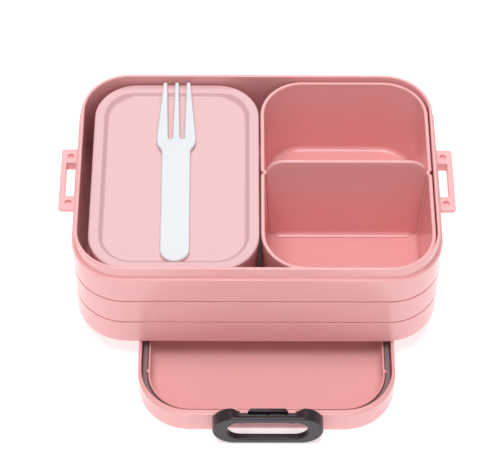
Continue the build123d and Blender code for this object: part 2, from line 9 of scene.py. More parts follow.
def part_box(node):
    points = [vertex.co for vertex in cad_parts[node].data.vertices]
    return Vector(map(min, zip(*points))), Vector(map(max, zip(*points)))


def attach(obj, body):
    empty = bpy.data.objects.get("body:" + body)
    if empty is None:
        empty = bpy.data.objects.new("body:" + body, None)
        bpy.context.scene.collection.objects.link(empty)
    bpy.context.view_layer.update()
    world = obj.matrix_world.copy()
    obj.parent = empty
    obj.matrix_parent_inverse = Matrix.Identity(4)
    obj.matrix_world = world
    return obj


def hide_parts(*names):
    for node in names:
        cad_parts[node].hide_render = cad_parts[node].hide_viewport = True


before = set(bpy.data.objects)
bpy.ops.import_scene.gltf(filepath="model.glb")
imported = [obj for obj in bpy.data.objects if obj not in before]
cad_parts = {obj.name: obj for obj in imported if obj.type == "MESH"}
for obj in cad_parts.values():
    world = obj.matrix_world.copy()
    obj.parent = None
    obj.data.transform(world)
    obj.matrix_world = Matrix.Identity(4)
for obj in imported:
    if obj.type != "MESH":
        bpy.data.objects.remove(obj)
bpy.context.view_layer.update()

bl_info = {
    "name": "Bento Lunch Box",
    "version": (1, 0, 0),
    "blender": (4, 5, 0),
    "location": "3D View > Sidebar > Lunch Box",
    "description": "Builds an open lunch box with its inner boxes, fork and lid",
    "category": "Add Mesh",
}

MM = 0.001

WORN_PALER = 0.08           # how much paler a rub or a speck is
WORN_ROUGHER = 0.12         # how much rougher it is
SKIN_RELIEF = 0.04 * MM
FORK_ASIDE = 0.19 * MM      # the handle's end from the middle of the turned fork
LUG_SUNK = 1.2 * MM         # how far a lug runs into the wall
CLIP_PLAY = 0.05 * MM       # between a clip and the latch's barrel
CLIP_SUNK = 0.4 * MM        # how far a clip runs into the lid's end
CLIP_ROOT_LOW = -6.0 * MM   # a clip's root, from the lid's rim
CLIP_ROOT_HIGH = -0.4 * MM
NIB_ABOVE_SEAL = 0.3 * MM
NIB_BELOW_RIB = 0.1 * MM
SEAL_ROUND = 0.8 * MM       # round of the seal's own edges

# name, place in metres, width in metres and power in watts
SOFTBOXES = (
    ("Top Softbox", (-0.1, -0.2, 1.5), 0.8, 13.6),
    ("Rear Softbox", (0.05, 1.0, 1.2), 0.9, 5.0),
    ("Front Softbox", (0.1, -1.2, 0.8), 0.9, 2.0),
)
LIGHTS_AIM = (0, 0, 0.03)
FLOOR_SIZE = 40.0           # metres, so that its edges stay out of view
FLOOR_GLOW = 0.5
ROOM_LIGHT = 0.30


# ---- sizes and colours ----------------------------------------------------------


def length(name, default, description):
    """A length in millimetres as a property in metres."""
    return FloatProperty(
        name=name, description=description, default=default * MM, min=0.0, unit="LENGTH", precision=5
    )


def colour(name, default, description):
    return FloatVectorProperty(
        name=name, description=description, default=default, size=4, min=0.0, max=1.0, subtype="COLOR"
    )


class OuterBoxSizes(bpy.types.PropertyGroup):
    """Sizes of the outer box."""

    corner: length("Corner radius", 24.3, "Radius of the four upright corners")
    foot_fillet: length("Foot fillet", 1.6, "Round between the wall and the underside")
    foot_width: length("Foot width", 7.0, "Width of the ring that the box stands on")
    foot_depth: length("Foot depth", 1.0, "How far the underside is hollowed")
    floor: length("Floor", 2.2, "Thickness of the floor")
    ledge: length("Ledge height", 49.6, "Height of the ledge that the closed lid rests on")
    rim_set_in: length("Rim set-in", 1.4, "How far the rim stands inside the wall")
    rim_wall: length("Rim wall", 1.5, "Thickness of the rim")
    groove_height: length("Groove height", 0.9, "Height of a groove in the wall")
    groove_depth: length("Groove depth", 0.6, "Depth of a groove in the wall")
    grooves: IntProperty(name="Grooves", description="Number of grooves", default=2, min=0, max=6)
    lug_reach: length("Lug reach", 7.4, "How far a lug stands out from the wall")
    lug_width: length("Lug width", 36.3, "Length of a lug along the wall")
    lug_plate: length("Lug plate", 2.0, "Thickness of a lug's plate")
    lug_collar: length("Lug collar", 5.4, "Height of the wall round a lug's slot, from the plate's top")
    collar_wall: length("Collar wall", 1.2, "Thickness of the wall round a lug's slot")
    lug_top: length("Lug top", 48.0, "Height of a lug's top above the box's underside")
    slot_length: length("Slot length", 19.7, "Length of the slot in a lug")
    slot_width: length("Slot width", 4.3, "Width of the slot in a lug")
    slot_bar: length("Slot bar", 2.7, "Material outside the slot")
    dimple_radius: length("Dimple radius", 1.45, "Radius of the dimples in a lug")
    dimple_depth: length("Dimple depth", 1.4, "Depth of the dimples in a lug")
    dimple_spacing: length("Dimple spacing", 27.6, "Distance between a lug's dimples")
    dimple_out: length("Dimple out", 3.0, "Distance of the dimples from the wall's outer face")


class MainLidSizes(bpy.types.PropertyGroup):
    """Sizes of the main lid, which lies upside down."""

    length: length("Length", 170.0, "Length between the faces that carry the latches")
    corner: length("Corner radius", 24.4, "Radius of the four upright corners")
    height: length("Height", 14.0, "Height of the skirt's rim")
    panel: length("Panel", 1.8, "Thickness of the flat panel")
    skirt: length("Skirt wall", 1.6, "Thickness of the outer skirt")
    end_extra: length("End wall extra", 1.4, "Extra thickness of the walls behind the latches")
    rib_set_in: length("Rib set-in", 4.65, "Outer face of the rib inside the skirt's outer face")
    rib_wall: length("Rib wall", 0.9, "Thickness of the rib")
    rib_drop: length("Rib drop", 4.5, "How far the rib's top is below the rim")
    seat: length("Seal seat", 5.2, "Height of the seal's seat")
    floor_fillet: length("Floor fillet", 4.0, "Round between the rib and the panel")
    pocket_width: length("Pocket width", 43.0, "Width of the flat behind a latch")
    pocket_depth: length("Pocket depth", 1.1, "Depth of the flat behind a latch")
    seal_width: length("Seal width", 2.7, "Width of the seal")
    seal_height: length("Seal height", 3.4, "Height of the seal")
    nib_radius: length("Nib radius", 0.8, "Radius of the nibs that keep the seal down")
    nib_place: length("Nib place", 58.0, "Distance of the nibs from the lid's middle")
    clip_place: length("Clip place", 11.4, "Distance of the clips from the latch's middle")
    clip_width: length("Clip width", 2.2, "Width of a clip")
    clip_wall: length("Clip wall", 1.1, "Thickness of a clip")
    barrel_radius: length("Barrel radius", 2.0, "Radius of the barrel that a latch turns on")
    hinge_out: length("Hinge out", 3.2, "Hinge axis, out from the lid's end")
    hinge_up: length("Hinge up", 3.0, "Hinge axis, above the lid's rim")


class InnerBoxSizes(bpy.types.PropertyGroup):
    """Sizes of the snack box, its lid and the food tray."""

    draft: FloatProperty(
        name="Draft", description="Slope of the walls", default=radians(2.2), subtype="ANGLE"
    )
    wall: length("Wall", 1.8, "Thickness of the walls")
    floor: length("Floor", 1.8, "Thickness of the floor")
    foot: length("Foot", 2.0, "Height of the foot under the floor")
    foot_width: length("Foot width", 6.0, "Width of the foot")
    floor_fillet: length("Floor fillet", 2.4, "Round between the walls and the floor")
    tray_corner: length("Tray corner", 21.0, "Corner radius of the food tray at its rim")
    snack_corner: length("Snack box corner", 20.3, "Corner radius of the snack box at its rim")
    pleat_reach: length("Pleat reach", 1.4, "Depth of the fold at the middle of a long side")
    pleat_width: length("Pleat width", 3.0, "Width of the fold at the middle of a long side")
    lid_edge: length("Lid edge", 1.8, "Thickness of the snack box lid's border")
    lid_border: length("Lid border", 5.0, "Width of the snack box lid's border")
    lid_recess: length("Lid recess", 2.0, "Depth of the snack box lid's recess")
    lid_panel: length("Lid panel", 1.6, "Thickness of the snack box lid's panel")
    plug_gap: length("Plug gap", 0.5, "Play between the lid's plug and the box")
    plug_wall: length("Plug wall", 1.3, "Thickness of the lid's plug")
    divider_thickness: length("Divider", 1.8, "Thickness of the divider")
    divider_corner: length("Divider corner", 9.0, "Radius of the divider's upper corners")
    divider_foot: length("Divider foot", 2.2, "Reach of the divider's flared foot")


class ForkSizes(bpy.types.PropertyGroup):
    """Sizes of the fork, with places measured from the handle's end."""

    shoulder: length("Shoulder", 64.0, "Where the handle begins to widen")
    neck: length("Neck", 64.2, "Where the head begins to rise")
    root: length("Root", 71.4, "Where the gaps between the tines begin")
    widest: length("Widest", 72.0, "Where the head is widest")
    thickness: length("Thickness", 2.0, "Thickness of the fork")
    handle: length("Handle width", 13.6, "Width of the handle")
    head: length("Head width", 18.8, "Greatest width of the head")
    tip_spread: length("Tip spread", 11.1, "Distance between the outer tips")
    tine_tip: length("Tine tip", 1.9, "Width of a tine's tip")
    tine_gap: length("Tine gap", 2.0, "Width of a gap at its root")
    rise: length("Rise", 2.6, "How far the tips rise above the handle")
    turn: FloatProperty(
        name="Turn", description="Turn about the vertical", default=radians(0.5), subtype="ANGLE"
    )


class Colours(bpy.types.PropertyGroup):
    """Colours of the plastics and the seal."""

    pink: colour("Pink", (0.885, 0.445, 0.45, 1.0), "Boxes, main lid and divider")
    pale_pink: colour("Pale pink", (0.765, 0.465, 0.475, 1.0), "Snack box lid")
    charcoal: colour("Charcoal", (0.027, 0.019, 0.025, 1.0), "Latches")
    white: colour("White", (0.74, 0.76, 0.80, 1.0), "Fork")
    seal: colour("Seal", (0.27, 0.19, 0.20, 1.0), "Seal in the lid")
    floor: colour("Floor", (0.93, 0.93, 0.93, 1.0), "The surface that the box stands on")


# ---- shader groups --------------------------------------------------------------


def new_group(name, inputs, outputs):
    """A shader node group with float inputs {name: default} and outputs {name: socket type}."""
    group = bpy.data.node_groups.new(name, "ShaderNodeTree")
    group.interface.new_socket("Vector", in_out="INPUT", socket_type="NodeSocketVector")
    for label, default in inputs.items():
        socket = group.interface.new_socket(label, in_out="INPUT", socket_type="NodeSocketFloat")
        socket.default_value = default
    for label, kind in outputs.items():
        group.interface.new_socket(label, in_out="OUTPUT", socket_type=kind)
    entry = group.nodes.new("NodeGroupInput")
    leave = group.nodes.new("NodeGroupOutput")
    return group, entry, leave


def feed(tree, value, socket):
    """Gives a socket its value, or links another socket's value to it."""
    if isinstance(value, bpy.types.NodeSocket):
        tree.links.new(value, socket)
    else:
        socket.default_value = value


def wire(tree, made, inputs):
    """Feeds a node's inputs by name."""
    for name, value in inputs.items():
        feed(tree, value, made.inputs[name])
    return made


def add_node(tree, kind, inputs):
    return wire(tree, tree.nodes.new(kind), inputs)


def noise(tree, vector, scale, detail=2.0, roughness=0.5, stretch=None):
    """A noise texture's value on a vector, optionally stretched."""
    if stretch:
        mapping = add_node(tree, "ShaderNodeMapping", {"Vector": vector, "Scale": stretch})
        vector = mapping.outputs["Vector"]
    return add_node(tree, "ShaderNodeTexNoise", {
        "Vector": vector, "Scale": scale, "Detail": detail, "Roughness": roughness,
    }).outputs["Fac"]


def spread(tree, value, low, high):
    """A value moved from a range to 0 to 1, and clamped."""
    made = add_node(tree, "ShaderNodeMapRange", {"Value": value, "From Min": low, "From Max": high})
    return made.outputs["Result"]


def mix(tree, factor, first, second):
    """Two colours mixed by a factor."""
    made = tree.nodes.new("ShaderNodeMix")
    made.data_type = "RGBA"
    return wire(tree, made, {"Factor": factor, "A": first, "B": second}).outputs["Result"]


def combine(tree, operation, first, second):
    """Two values, or a value and a number, through a Math node."""
    node = tree.nodes.new("ShaderNodeMath")
    node.operation = operation
    for socket, value in zip(node.inputs, (first, second)):
        feed(tree, value, socket)
    return node.outputs["Value"]


def moulded_skin_group():
    """Fine skin of moulded plastic: a height for bump, and a roughness that drifts."""
    group, entry, leave = new_group(
        "Moulded Skin",
        {"Skin Size": 900.0, "Skin Depth": 1.0, "Gloss": 0.2, "Gloss Drift": 0.05},
        {"Height": "NodeSocketFloat", "Roughness": "NodeSocketFloat"},
    )
    vector = entry.outputs["Vector"]
    fine = noise(group, vector, entry.outputs["Skin Size"], detail=3.0, roughness=0.6)
    wave = noise(group, vector, 55.0, detail=1.0)
    height = combine(group, "ADD", fine, combine(group, "MULTIPLY", wave, 3.0))
    height = combine(group, "MULTIPLY", height, entry.outputs["Skin Depth"])
    drift = noise(group, vector, 38.0, detail=4.0, roughness=0.62)
    drift = combine(group, "SUBTRACT", drift, 0.5)
    drift = combine(group, "MULTIPLY", drift, entry.outputs["Gloss Drift"])
    group.links.new(height, leave.inputs["Height"])
    group.links.new(combine(group, "ADD", drift, entry.outputs["Gloss"]), leave.inputs["Roughness"])
    return group


def handling_marks_group():
    """Faint rubs and specks of handled plastic, as a mask."""
    group, entry, leave = new_group(
        "Handling Marks", {"Rub Amount": 0.5, "Speck Amount": 0.5}, {"Mask": "NodeSocketFloat"}
    )
    vector = entry.outputs["Vector"]
    along = noise(group, vector, 1.0, detail=2.0, stretch=(28.0, 900.0, 60.0))
    across = noise(group, vector, 1.0, detail=2.0, stretch=(900.0, 34.0, 60.0))
    patch = spread(group, noise(group, vector, 24.0, detail=2.0), 0.48, 0.66)
    along = spread(group, along, 0.66, 0.72)
    across = spread(group, across, 0.67, 0.73)
    rubs = combine(group, "MULTIPLY", combine(group, "MAXIMUM", along, across), patch)
    rubs = combine(group, "MULTIPLY", rubs, entry.outputs["Rub Amount"])
    specks = noise(group, vector, 620.0, detail=0.0)
    specks = spread(group, specks, 0.80, 0.83)
    specks = combine(group, "MULTIPLY", specks, entry.outputs["Speck Amount"])
    group.links.new(combine(group, "MAXIMUM", rubs, specks), leave.inputs["Mask"])
    return group


def plastic(name, tint, skin, marks, gloss, drift, depth, bump, rub, speck, tone):
    """A moulded plastic: a tint that drifts a little, a fine skin, and faint handling marks."""
    material = bpy.data.materials.new(name)
    material.use_nodes = True
    tree = material.node_tree
    shader = tree.nodes["Principled BSDF"]
    place = tree.nodes.new("ShaderNodeTexCoord").outputs["Object"]

    surface = tree.nodes.new("ShaderNodeGroup")
    surface.node_tree = skin
    wire(tree, surface, {"Gloss": gloss, "Gloss Drift": drift, "Skin Depth": depth, "Vector": place})
    handled = tree.nodes.new("ShaderNodeGroup")
    handled.node_tree = marks
    wire(tree, handled, {"Rub Amount": rub, "Speck Amount": speck, "Vector": place})

    # the tint drifts between a slightly deeper and a slightly paler one
    deeper = [channel * (1.0 - tone) for channel in tint[:3]] + [1.0]
    paler = [min(1.0, channel * (1.0 + tone)) for channel in tint[:3]] + [1.0]
    worn = [channel + (1.0 - channel) * WORN_PALER for channel in tint[:3]] + [1.0]
    drifting = mix(tree, noise(tree, place, 17.0, detail=3.0), deeper, paler)
    worn_rough = combine(tree, "MULTIPLY", handled.outputs["Mask"], WORN_ROUGHER)
    relief = add_node(tree, "ShaderNodeBump", {
        "Strength": bump, "Distance": SKIN_RELIEF, "Height": surface.outputs["Height"],
    })
    wire(tree, shader, {
        "Base Color": mix(tree, handled.outputs["Mask"], drifting, worn),
        "Roughness": combine(tree, "ADD", surface.outputs["Roughness"], worn_rough),
        "IOR": 1.49,
        "Specular IOR Level": 0.45,
        "Normal": relief.outputs["Normal"],
    })


# each finish's material, its colour's name, and how its surface looks
PINK_SURFACE = dict(gloss=0.17, drift=0.10, depth=1.0, bump=0.25, rub=0.35, speck=0.3, tone=0.018)
FINISHES = {
    "pink_plastic": ("Pink Plastic", "pink", PINK_SURFACE),
    "pale_pink_plastic": ("Pale Pink Plastic", "pale_pink", PINK_SURFACE),
    "charcoal_plastic": ("Charcoal Plastic", "charcoal", dict(
        gloss=0.30, drift=0.14, depth=1.6, bump=0.5, rub=0.7, speck=0.6, tone=0.10,
    )),
    "white_plastic": ("White Plastic", "white", dict(
        gloss=0.24, drift=0.10, depth=1.0, bump=0.25, rub=0.3, speck=0.2, tone=0.012,
    )),
    "seal_rubber": ("Seal Rubber", "seal", dict(
        gloss=0.52, drift=0.16, depth=2.5, bump=0.6, rub=0.5, speck=0.8, tone=0.12,
    )),
}


def material(finish):
    """The material of a finish; all are made the first time that one is asked for."""
    name = FINISHES[finish][0]
    if name not in bpy.data.materials:
        skin = moulded_skin_group()
        marks = handling_marks_group()
        colours = bpy.context.scene.lunch_box_colours
        for title, tint, surface in FINISHES.values():
            plastic(title, getattr(colours, tint), skin, marks, **surface)
    return bpy.data.materials[name]


# ---- mesh helpers ---------------------------------------------------------------


def rounded(corners, steps=6):
    """A profile of (inset, height) points from corners (inset, height, radius)."""
    path = []
    for number, (inset, height, radius) in enumerate(corners):
        if radius == 0:
            path.append((inset, height))
            continue
        corner = Vector((inset, height))
        back = (Vector(corners[number - 1][:2]) - corner).normalized()
        ahead = (Vector(corners[(number + 1) % len(corners)][:2]) - corner).normalized()
        half_angle = back.angle(ahead) / 2
        middle = corner + (back + ahead).normalized() * radius / sin(half_angle)
        start = corner + back * radius / tan(half_angle) - middle
        end = corner + ahead * radius / tan(half_angle) - middle
        sweep = start.angle_signed(end)
        for step in range(steps + 1):
            turned = start.copy()
            turned.rotate(Matrix.Rotation(-sweep * step / steps, 2))
            path.append(tuple(middle + turned))
    return path


def outline_points(half_x, half_y, corner, along_x, along_y, steps=14):
    """A rounded rectangle as (x, y, normal x, normal y), with extra points along its sides."""
    arms = [
        (1, 1, [(half_x, y, 1, 0) for y in along_y]),
        (-1, 1, [(x, half_y, 0, 1) for x in reversed(along_x)]),
        (-1, -1, [(-half_x, y, -1, 0) for y in reversed(along_y)]),
        (1, -1, [(x, -half_y, 0, -1) for x in along_x]),
    ]
    points = []
    for quarter, (sign_x, sign_y, side) in enumerate(arms):
        points += side
        for step in range(steps + 1):
            angle = (quarter + step / steps) * pi / 2
            points.append((
                sign_x * (half_x - corner) + corner * cos(angle),
                sign_y * (half_y - corner) + corner * sin(angle),
                cos(angle),
                sin(angle),
            ))
    return points


def shell(centre, half_x, half_y, corner, profile, along_x=(), along_y=(), shape=None, end_extra=None):
    """A closed mesh whose rings follow a rounded rectangle, inset and raised as the profile says."""
    mesh = bmesh.new()
    rings = []
    for inset, height in profile:
        extra = end_extra(inset, height) if end_extra else 0.0
        ring = []
        for x, y, normal_x, normal_y in outline_points(
            half_x - inset, half_y - inset - extra, max(corner - inset, 0.0005), along_x, along_y
        ):
            push = shape(x, y, normal_x, normal_y, inset, height) if shape else 0.0
            ring.append(mesh.verts.new((
                centre[0] + x - normal_x * push, centre[1] + y - normal_y * push, height
            )))
        rings.append(ring)
    for lower, upper in zip(rings, rings[1:]):
        for number in range(len(lower)):
            after = (number + 1) % len(lower)
            mesh.faces.new((lower[number], lower[after], upper[after], upper[number]))
    mesh.faces.new(rings[0])
    mesh.faces.new(rings[-1])
    return mesh


def add_piece(name, mesh, finish, body, node, sharp=40.0):
    """A bmesh as a shaded piece with its finish's material: it moves with a body and hides the CAD node
    it stands for.
    """
    bmesh.ops.remove_doubles(mesh, verts=mesh.verts, dist=1e-7)
    bmesh.ops.recalc_face_normals(mesh, faces=mesh.faces)
    data = bpy.data.meshes.new(name)
    mesh.to_mesh(data)
    mesh.free()
    data.shade_smooth()
    data.set_sharp_from_angle(angle=radians(sharp))
    piece = bpy.data.objects.new(name, data)
    bpy.context.scene.collection.objects.link(piece)
    data.materials.append(material(finish))
    normals = piece.modifiers.new("Weighted Normals", "WEIGHTED_NORMAL")
    normals.keep_sharp = True
    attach(piece, body)
    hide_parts(node)


def move(mesh, way):
    bmesh.ops.translate(mesh, verts=mesh.verts, vec=way)


def box_middle(low, high):
    return tuple((first + second) / 2 for first, second in zip(low, high))


def plate(outlines, thickness, edge, resolution=3):
    """A flat plate in XY, centred on z = 0, with round edges and any holes, as a bmesh."""
    curve = bpy.data.curves.new("plate", "CURVE")
    curve.dimensions = "2D"
    curve.fill_mode = "BOTH"
    for outline in outlines:
        spline = curve.splines.new("POLY")
        spline.points.add(len(outline) - 1)
        for point, (x, y) in zip(spline.points, outline):
            point.co = (x, y, 0.0, 1.0)
        spline.use_cyclic_u = True
    curve.extrude = thickness / 2 - edge
    curve.bevel_depth = edge
    curve.bevel_resolution = resolution
    curve.offset = -edge
    holder = bpy.data.objects.new("plate", curve)
    data = bpy.data.meshes.new_from_object(holder)
    mesh = bmesh.new()
    mesh.from_mesh(data)
    bpy.data.objects.remove(holder)
    bpy.data.curves.remove(curve)
    bpy.data.meshes.remove(data)
    bmesh.ops.remove_doubles(mesh, verts=mesh.verts, dist=1e-6)
    return mesh


def ring_outline(half_x, half_y, radius, centre=(0.0, 0.0), steps=8):
    """A rounded rectangle as plain (x, y) points."""
    points = outline_points(half_x, half_y, radius, (), (), steps)
    return [(centre[0] + point[0], centre[1] + point[1]) for point in points]


def merge(target, other):
    """Adds one bmesh to another."""
    data = bpy.data.meshes.new("part")
    other.to_mesh(data)
    other.free()
    target.from_mesh(data)
    bpy.data.meshes.remove(data)


def grow(tree_name, values, build):
    """A Geometry Nodes tree with the given inputs, on an empty mesh, as a plain bmesh."""
    holder_data = bpy.data.meshes.new(tree_name)
    holder = bpy.data.objects.new(tree_name, holder_data)
    bpy.context.scene.collection.objects.link(holder)
    modifier = holder.modifiers.new("Grow", "NODES")
    tree = bpy.data.node_groups.new(tree_name, "GeometryNodeTree")
    modifier.node_group = tree
    identifiers = {}
    for name, value in values.items():
        kind = "NodeSocketFloat" if isinstance(value, float) else "NodeSocketObject"
        socket = tree.interface.new_socket(name, in_out="INPUT", socket_type=kind)
        identifiers[name] = socket.identifier
    build(tree)
    for name, value in values.items():
        modifier[identifiers[name]] = value
    depsgraph = bpy.context.evaluated_depsgraph_get()
    depsgraph.update()
    data = bpy.data.meshes.new_from_object(holder.evaluated_get(depsgraph))
    mesh = bmesh.new()
    mesh.from_mesh(data)
    bpy.data.objects.remove(holder)
    bpy.data.meshes.remove(holder_data)
    bpy.data.meshes.remove(data)
    for value in values.values():
        if isinstance(value, bpy.types.Object):
            bpy.data.objects.remove(value)
    return mesh


# ---- outer box ------------------------------------------------------------------


def outer_box_profile(sizes, base, top):
    """Underside, wall with its grooves, ledge, rim and inside of the outer box."""
    floor_top = base + sizes.foot_depth + sizes.floor
    inner = sizes.rim_set_in + sizes.rim_wall
    ledge = base + sizes.ledge
    corners = [
        (sizes.foot_width + 4 * MM, base + sizes.foot_depth, 0),
        (sizes.foot_width, base + sizes.foot_depth, 0.3 * MM),
        (sizes.foot_width, base, 0.3 * MM),
        (0, base, sizes.foot_fillet),
    ]
    for number in range(sizes.grooves):
        middle = base + sizes.ledge * (number + 1) / (sizes.grooves + 1)
        for inset, height in ((0, -0.5), (1, -0.5), (1, 0.5), (0, 0.5)):
            corners.append((
                inset * sizes.groove_depth, middle + height * sizes.groove_height, 0.16 * MM
            ))
    corners += [
        (0, ledge, 0.4 * MM),
        (sizes.rim_set_in, ledge, 0.3 * MM),
        (sizes.rim_set_in, top, 0.55 * MM),
        (inner, top, 0.55 * MM),
        (inner, floor_top, 1.5 * MM),
        (inner + 5 * MM, floor_top, 0),
    ]
    return rounded(corners)


def lug_mesh(sizes, reach, embed):
    """One lug from its top down, reaching to +X: a plate, the dimples' floors, the slot's collar."""
    half = (reach + embed) / 2
    slot_x = reach - sizes.slot_bar - sizes.slot_width / 2
    corner = 0.5 * MM
    slot = ring_outline(sizes.slot_width / 2, sizes.slot_length / 2, corner, (slot_x, 0), 4)
    outlines = [ring_outline(half, sizes.lug_width / 2, 1.6 * MM, (half - embed, 0)), slot]
    disc = sizes.dimple_radius + 0.3 * MM
    wall = sizes.collar_wall
    around = ring_outline(
        sizes.slot_width / 2 + wall, sizes.slot_length / 2 + wall, corner + wall, (slot_x, 0), 4
    )
    overlap = 0.2 * MM
    under = [([around, slot], sizes.lug_plate - overlap, sizes.lug_collar)]
    for side in (-1, 1):
        centre = (sizes.dimple_out, side * sizes.dimple_spacing / 2)
        radius = sizes.dimple_radius
        outlines.append(ring_outline(radius, radius, radius * 0.999, centre, 8))
        floor = ring_outline(disc, disc, disc * 0.999, centre, 8)
        under.append(([floor], sizes.dimple_depth, sizes.lug_plate - 0.05 * MM))
    lug = plate(outlines, sizes.lug_plate, 0.35 * MM)
    move(lug, (0, 0, -sizes.lug_plate / 2))
    for part_outlines, top, bottom in under:
        part = plate(part_outlines, bottom - top, 0.1 * MM)
        move(part, (0, 0, -(top + bottom) / 2))
        merge(lug, part)
    return lug


def hidden_object(name, mesh):
    """A bmesh as an object that a Geometry Nodes tree can read."""
    data = bpy.data.meshes.new(name)
    mesh.to_mesh(data)
    mesh.free()
    return bpy.data.objects.new(name, data)


def finish_tree(tree, geometry, finish):
    """Ends a Geometry Nodes tree in real geometry with its material."""
    tree.interface.new_socket("Geometry", in_out="OUTPUT", socket_type="NodeSocketGeometry")
    real = add_node(tree, "GeometryNodeRealizeInstances", {"Geometry": geometry})
    coat = add_node(tree, "GeometryNodeSetMaterial", {
        "Geometry": real.outputs["Geometry"], "Material": material(finish),
    })
    add_node(tree, "NodeGroupOutput", {"Geometry": coat.outputs["Geometry"]})


def repeat_round(tree, source, count):
    """Instances of a pink object along a line of a given spread, and again turned half round."""
    entry = tree.nodes.new("NodeGroupInput")
    info = add_node(tree, "GeometryNodeObjectInfo", {"Object": entry.outputs[source]})
    ends = []
    for sign in (-1.0, 1.0):
        signed = combine(tree, "MULTIPLY", entry.outputs["Spread"], sign)
        ends.append(add_node(tree, "ShaderNodeCombineXYZ", {"X": signed}).outputs["Vector"])
    line = tree.nodes.new("GeometryNodeMeshLine")
    line.mode = "END_POINTS"
    wire(tree, line, {"Count": count, "Start Location": ends[0], "Offset": ends[1]})
    put = add_node(tree, "GeometryNodeInstanceOnPoints", {
        "Points": line.outputs["Mesh"], "Instance": info.outputs["Geometry"],
    })
    turn = add_node(tree, "GeometryNodeTransform", {
        "Geometry": put.outputs["Instances"], "Rotation": (0.0, 0.0, pi),
    })
    both = tree.nodes.new("GeometryNodeJoinGeometry")
    tree.links.new(put.outputs["Instances"], both.inputs["Geometry"])
    tree.links.new(turn.outputs["Geometry"], both.inputs["Geometry"])
    finish_tree(tree, both.outputs["Geometry"], "pink_plastic")


class LUNCHBOX_OT_outer_box(bpy.types.Operator):
    """Builds the outer box and its two lugs"""

    bl_idname = "lunch_box.outer_box"
    bl_label = "Outer Box"

    def execute(self, context):
        sizes = context.scene.outer_box_sizes
        low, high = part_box("lunch_box_body")
        reach = sizes.lug_reach
        centre = box_middle(low, high)
        half_x = (high[0] - low[0]) / 2 - reach
        half_y = (high[1] - low[1]) / 2
        mesh = shell(centre, half_x, half_y, sizes.corner, outer_box_profile(sizes, low[2], high[2]))
        add_piece("outer_box_wall", mesh, "pink_plastic", "outer_box", "lunch_box_body")

        lug = lug_mesh(sizes, reach, LUG_SUNK)
        move(lug, (half_x, 0, 0))
        single = hidden_object("lug", lug)
        lugs = grow("Lugs", {"Lug": single, "Spread": 0.0}, lambda tree: repeat_round(tree, "Lug", 1))
        place = Vector((centre[0], centre[1], low[2] + sizes.lug_top))
        move(lugs, place)
        add_piece("outer_box_lugs", lugs, "pink_plastic", "outer_box", "lunch_box_body")
        return {"FINISHED"}


# ---- main lid, seal and clips -----------------------------------------------------


def clamp(value):
    return max(0.0, min(1.0, value))


def main_lid_profile(sizes):
    """Outer face, skirt, seal's seat, rib and inner panel of the upside-down lid."""
    rim = sizes.height
    rib_top = rim - sizes.rib_drop
    rib_inner = sizes.rib_set_in + sizes.rib_wall
    return rounded([
        (6 * MM, 0, 0),
        (0, 0, 2.2 * MM),
        (0, rim, 0.75 * MM),
        (sizes.skirt, rim, 0.55 * MM),
        (sizes.skirt, sizes.seat, 0.3 * MM),
        (sizes.rib_set_in, sizes.seat, 0.3 * MM),
        (sizes.rib_set_in, rib_top, 0.35 * MM),
        (rib_inner, rib_top, 0.35 * MM),
        (rib_inner, sizes.panel, sizes.floor_fillet),
        (rib_inner + 8 * MM, sizes.panel, 0),
    ])


def clip_mesh(sizes):
    """One clip, in section: an open cradle round the barrel, joined to the lid's end."""
    middle = Vector((sizes.hinge_out, sizes.hinge_up))
    inner = sizes.barrel_radius + CLIP_PLAY
    outer = inner + sizes.clip_wall
    root = -sizes.pocket_depth - CLIP_SUNK
    # where round the barrel, in degrees, the section turns
    outer_lip, foot_under, foot_top, inner_lip = -15, -75, 195, 170

    def sweep(radius, start, end, steps=14):
        turns = [radians(start + (end - start) * step / steps) for step in range(steps + 1)]
        return [(middle.x + radius * cos(turn), middle.y + radius * sin(turn)) for turn in turns]

    outline = sweep(outer, outer_lip, foot_under)
    outline += [(root, CLIP_ROOT_LOW), (root, CLIP_ROOT_HIGH)]
    outline += sweep(outer, foot_top, inner_lip, 4)
    outline += sweep(inner, inner_lip, outer_lip + 360, 24)
    mesh = plate([outline], sizes.clip_width, 0.2 * MM, 2)
    # outline's X is outward from the lid's end and its Y is up
    across = Matrix(((0, 0, 1, 0), (1, 0, 0, 0), (0, 1, 0, 0), (0, 0, 0, 1)))
    bmesh.ops.transform(mesh, matrix=across, verts=mesh.verts)
    return mesh


def seal_tree(tree):
    """A rounded profile swept along a rounded rectangle."""
    entry = tree.nodes.new("NodeGroupInput")

    def rounded_rectangle(width, height, radius, count):
        base = add_node(tree, "GeometryNodeCurvePrimitiveQuadrilateral", {
            "Width": entry.outputs[width], "Height": entry.outputs[height],
        })
        fillet = tree.nodes.new("GeometryNodeFilletCurve")
        fillet.mode = "POLY"
        return wire(tree, fillet, {
            "Curve": base.outputs["Curve"], "Radius": entry.outputs[radius], "Count": count,
        }).outputs["Curve"]

    path = rounded_rectangle("Path Width", "Path Length", "Path Corner", 18)
    profile = rounded_rectangle("Seal Width", "Seal Height", "Seal Round", 4)
    sweep = add_node(tree, "GeometryNodeCurveToMesh", {"Curve": path, "Profile Curve": profile})
    finish_tree(tree, sweep.outputs["Mesh"], "seal_rubber")


def nib_tree(tree):
    """Short round nibs at the four corners of a grid."""
    entry = tree.nodes.new("NodeGroupInput")
    grid = add_node(tree, "GeometryNodeMeshGrid", {
        "Size X": entry.outputs["Across"], "Size Y": entry.outputs["Along"],
        "Vertices X": 2, "Vertices Y": 2,
    })
    nib = add_node(tree, "GeometryNodeMeshCylinder", {
        "Vertices": 20, "Radius": entry.outputs["Nib Radius"], "Depth": entry.outputs["Nib Height"],
    })
    put = add_node(tree, "GeometryNodeInstanceOnPoints", {
        "Points": grid.outputs["Mesh"], "Instance": nib.outputs["Mesh"],
    })
    finish_tree(tree, put.outputs["Instances"], "pink_plastic")


